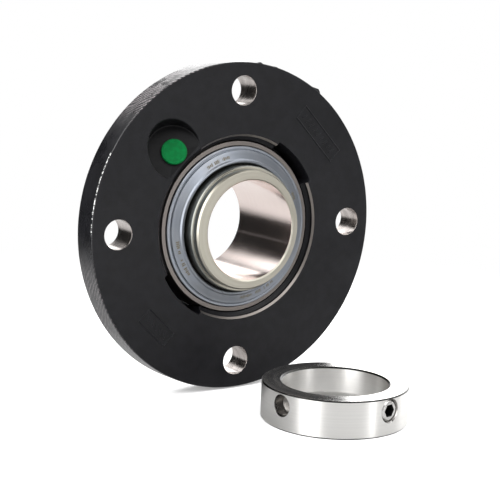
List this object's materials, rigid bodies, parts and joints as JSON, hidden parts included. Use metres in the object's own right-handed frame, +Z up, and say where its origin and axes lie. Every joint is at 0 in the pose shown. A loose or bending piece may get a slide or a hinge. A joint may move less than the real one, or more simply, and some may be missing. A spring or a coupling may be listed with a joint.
{
  "type": "flange mount bearing",
  "caption": "Round flanged cast housing with bolt holes and a rear spigot, holding a self-aligning insert ball bearing whose eccentric locking collar lies loose beside it.",
  "frame": {"origin": "centre of the bearing on the shaft axis, in the plane of the flange's mounting face", "axes": "+Y along the shaft axis towards the machine, so the front face looks to -Y; +Z up; the bolt holes lie on the X and Z axes"},
  "size_m": [0.1662, 0.1378, 0.1662],
  "materials": {
    "housing_paint": "satin",
    "plug_plastic": "satin",
    "ring_steel": "satin",
    "ball_steel": "polished",
    "seal_zinc": "satin",
    "seal_rubber": "matte",
    "cage_nylon": "satin",
    "collar_steel": "satin",
    "screw_steel": "satin"
  },
  "bodies": {
    "housing": {"flange_housing": "housing_paint"},
    "plug": {"grease_plug": "plug_plastic"},
    "outer_ring_unit": {"outer_ring": "ring_steel", "front_seal_cover": "seal_zinc", "front_seal_lip": "seal_rubber", "front_seal_backing": "seal_zinc", "rear_seal_cover": "seal_zinc", "rear_seal_lip": "seal_rubber", "rear_seal_backing": "seal_zinc"},
    "inner_ring_unit": {"inner_ring": "ring_steel"},
    "cage_unit": {"cage": "cage_nylon"},
    "ball_01_unit": {"ball_01": "ball_steel"},
    "ball_02_unit": {"ball_02": "ball_steel"},
    "ball_03_unit": {"ball_03": "ball_steel"},
    "ball_04_unit": {"ball_04": "ball_steel"},
    "ball_05_unit": {"ball_05": "ball_steel"},
    "ball_06_unit": {"ball_06": "ball_steel"},
    "ball_07_unit": {"ball_07": "ball_steel"},
    "ball_08_unit": {"ball_08": "ball_steel"},
    "ball_09_unit": {"ball_09": "ball_steel"},
    "ball_10_unit": {"ball_10": "ball_steel"},
    "collar_unit": {"locking_collar": "collar_steel"},
    "set_screw_unit": {"set_screw": "screw_steel"}
  },
  "joints": [
    {"name": "plug_pull", "type": "slide", "parent": "housing", "child": "plug", "axis": [-0.3505, -0.866, 0.3566], "range_m": [0, 0.01]},
    {"name": "self_align", "type": "hinge", "parent": "housing", "child": "outer_ring_unit", "pos_m": [0, 0, 0], "axis": [1, 0, 0], "range_deg": [-5, 5]},
    {"name": "shaft_spin", "type": "hinge", "parent": "outer_ring_unit", "child": "inner_ring_unit", "pos_m": [0, 0, 0], "axis": [0, 1, 0], "continuous": true},
    {"name": "cage_orbit", "type": "hinge", "parent": "outer_ring_unit", "child": "cage_unit", "pos_m": [0, 0, 0], "axis": [0, 1, 0], "continuous": true},
    {"name": "ball_01_roll", "type": "hinge", "parent": "cage_unit", "child": "ball_01_unit", "pos_m": [0, 0, 0.035], "axis": [0, 1, 0], "continuous": true},
    {"name": "ball_02_roll", "type": "hinge", "parent": "cage_unit", "child": "ball_02_unit", "pos_m": [-0.02057, 0, 0.02832], "axis": [0, 1, 0], "continuous": true},
    {"name": "ball_03_roll", "type": "hinge", "parent": "cage_unit", "child": "ball_03_unit", "pos_m": [-0.03329, 0, 0.01082], "axis": [0, 1, 0], "continuous": true},
    {"name": "ball_04_roll", "type": "hinge", "parent": "cage_unit", "child": "ball_04_unit", "pos_m": [-0.03329, 0, -0.01082], "axis": [0, 1, 0], "continuous": true},
    {"name": "ball_05_roll", "type": "hinge", "parent": "cage_unit", "child": "ball_05_unit", "pos_m": [-0.02057, 0, -0.02832], "axis": [0, 1, 0], "continuous": true},
    {"name": "ball_06_roll", "type": "hinge", "parent": "cage_unit", "child": "ball_06_unit", "pos_m": [0, 0, -0.035], "axis": [0, 1, 0], "continuous": true},
    {"name": "ball_07_roll", "type": "hinge", "parent": "cage_unit", "child": "ball_07_unit", "pos_m": [0.02057, 0, -0.02832], "axis": [0, 1, 0], "continuous": true},
    {"name": "ball_08_roll", "type": "hinge", "parent": "cage_unit", "child": "ball_08_unit", "pos_m": [0.03329, 0, -0.01082], "axis": [0, 1, 0], "continuous": true},
    {"name": "ball_09_roll", "type": "hinge", "parent": "cage_unit", "child": "ball_09_unit", "pos_m": [0.03329, 0, 0.01082], "axis": [0, 1, 0], "continuous": true},
    {"name": "ball_10_roll", "type": "hinge", "parent": "cage_unit", "child": "ball_10_unit", "pos_m": [0.02057, 0, 0.02832], "axis": [0, 1, 0], "continuous": true},
    {"name": "collar_swing", "type": "hinge", "parent": "housing", "child": "collar_unit", "pos_m": [-0.01483, -0.10741, -0.0388], "axis": [0.9563, -0.2067, 0.2067], "range_deg": [0, 92.56]},
    {"name": "set_screw_travel", "type": "slide", "parent": "collar_unit", "child": "set_screw_unit", "axis": [-0.1392, 0.9903, 0], "range_m": [-0.004, 0.006]}
  ],
  "couplings": [
    {"joint": "cage_orbit", "follows": "shaft_spin", "ratio": 0.40929},
    {"joint": "ball_01_roll", "follows": "shaft_spin", "ratio": -2.6652},
    {"joint": "ball_02_roll", "follows": "shaft_spin", "ratio": -2.6652},
    {"joint": "ball_03_roll", "follows": "shaft_spin", "ratio": -2.6652},
    {"joint": "ball_04_roll", "follows": "shaft_spin", "ratio": -2.6652},
    {"joint": "ball_05_roll", "follows": "shaft_spin", "ratio": -2.6652},
    {"joint": "ball_06_roll", "follows": "shaft_spin", "ratio": -2.6652},
    {"joint": "ball_07_roll", "follows": "shaft_spin", "ratio": -2.6652},
    {"joint": "ball_08_roll", "follows": "shaft_spin", "ratio": -2.6652},
    {"joint": "ball_09_roll", "follows": "shaft_spin", "ratio": -2.6652},
    {"joint": "ball_10_roll", "follows": "shaft_spin", "ratio": -2.6652}
  ]
}
